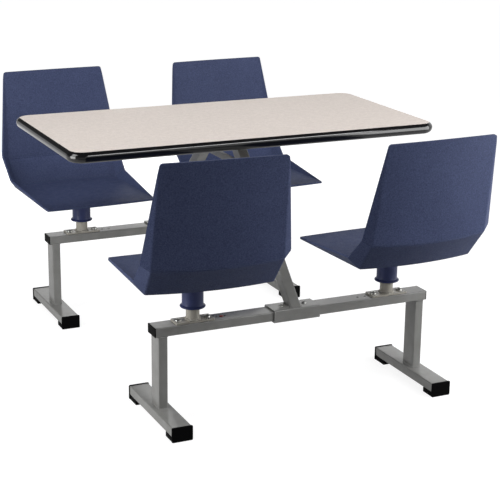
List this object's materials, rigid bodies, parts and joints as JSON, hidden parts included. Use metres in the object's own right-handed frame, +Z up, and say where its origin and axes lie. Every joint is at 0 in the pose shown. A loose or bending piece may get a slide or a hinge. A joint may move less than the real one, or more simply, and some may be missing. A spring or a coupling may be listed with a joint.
{
  "type": "table with attached swivel seats",
  "caption": "Rectangular laminate dining table on a welded steel tube frame that also carries angular swivel seats on posts along both long sides.",
  "frame": {"origin": "on the floor under the middle of the table top", "axes": "+Z up; X along the table's length, with the two halves of each floor beam on it; +Y from the front pair of seats to the back pair"},
  "size_m": [1.219, 1.5695, 0.8236],
  "materials": {
    "laminate": "satin decorative laminate",
    "particle_board": "pressed particle board, unseen",
    "backing_sheet": "plain brown backing sheet",
    "edge_vinyl": "glossy extruded vinyl",
    "black_plastic": "moulded, slightly worn",
    "frame_paint": "light grey powder coat, semi-gloss",
    "red_plastic": "moulded",
    "bronze": "turned bearing bronze",
    "zinc_steel": "zinc plated",
    "seat_shell": "moulded navy gel coat, satin",
    "seat_paint": "navy powder coat",
    "bracket_paint": "dark powder coat"
  },
  "bodies": {
    "frame": {"axle_screws": "zinc_steel", "beam_back_left": "frame_paint", "beam_back_right": "frame_paint", "beam_end_plugs": "black_plastic", "beam_front_left": "frame_paint", "beam_front_right": "frame_paint", "foot_back_left": "frame_paint", "foot_back_right": "frame_paint", "foot_caps_back": "black_plastic", "foot_caps_front": "black_plastic", "foot_front_left": "frame_paint", "foot_front_right": "frame_paint", "leg_back_left": "frame_paint", "leg_back_right": "frame_paint", "leg_front_left": "frame_paint", "leg_front_right": "frame_paint", "plate_bolts": "zinc_steel", "plate_nuts": "zinc_steel", "post_back_left": "frame_paint", "post_back_right": "frame_paint", "post_front_left": "frame_paint", "post_front_right": "frame_paint", "red_plug": "red_plastic", "sleeve_back": "frame_paint", "sleeve_bolts": "zinc_steel", "sleeve_front": "frame_paint", "sleeve_nuts": "zinc_steel", "stop_washers": "zinc_steel", "strut_back": "frame_paint", "strut_front": "frame_paint", "table_backer": "backing_sheet", "table_core": "particle_board", "table_edge": "edge_vinyl", "table_laminate": "laminate", "thrust_washers": "bronze", "tie_bar": "frame_paint", "top_rail_back": "frame_paint", "top_rail_front": "frame_paint", "top_screws": "zinc_steel"},
    "seat_front_left": {"seat_bracket_front_left": "bracket_paint", "seat_bush_front_left": "bronze", "seat_cup_front_left": "seat_paint", "seat_screws_front_left": "zinc_steel", "seat_shell_front_left": "seat_shell"},
    "seat_front_right": {"seat_bracket_front_right": "bracket_paint", "seat_bush_front_right": "bronze", "seat_cup_front_right": "seat_paint", "seat_screws_front_right": "zinc_steel", "seat_shell_front_right": "seat_shell"},
    "seat_back_left": {"seat_bracket_back_left": "bracket_paint", "seat_bush_back_left": "bronze", "seat_cup_back_left": "seat_paint", "seat_screws_back_left": "zinc_steel", "seat_shell_back_left": "seat_shell"},
    "seat_back_right": {"seat_bracket_back_right": "bracket_paint", "seat_bush_back_right": "bronze", "seat_cup_back_right": "seat_paint", "seat_screws_back_right": "zinc_steel", "seat_shell_back_right": "seat_shell"}
  },
  "joints": [
    {"name": "swivel_front_left", "type": "hinge", "parent": "frame", "child": "seat_front_left", "pos_m": [-0.321, -0.508, 0.332], "axis": [0, 0, 1], "range_deg": [-86.5, 93.5]},
    {"name": "swivel_front_right", "type": "hinge", "parent": "frame", "child": "seat_front_right", "pos_m": [0.321, -0.508, 0.332], "axis": [0, 0, 1], "range_deg": [-92, 88]},
    {"name": "swivel_back_left", "type": "hinge", "parent": "frame", "child": "seat_back_left", "pos_m": [-0.321, 0.508, 0.332], "axis": [0, 0, 1], "range_deg": [-92, 88]},
    {"name": "swivel_back_right", "type": "hinge", "parent": "frame", "child": "seat_back_right", "pos_m": [0.321, 0.508, 0.332], "axis": [0, 0, 1], "range_deg": [-92.8, 87.2]}
  ]
}
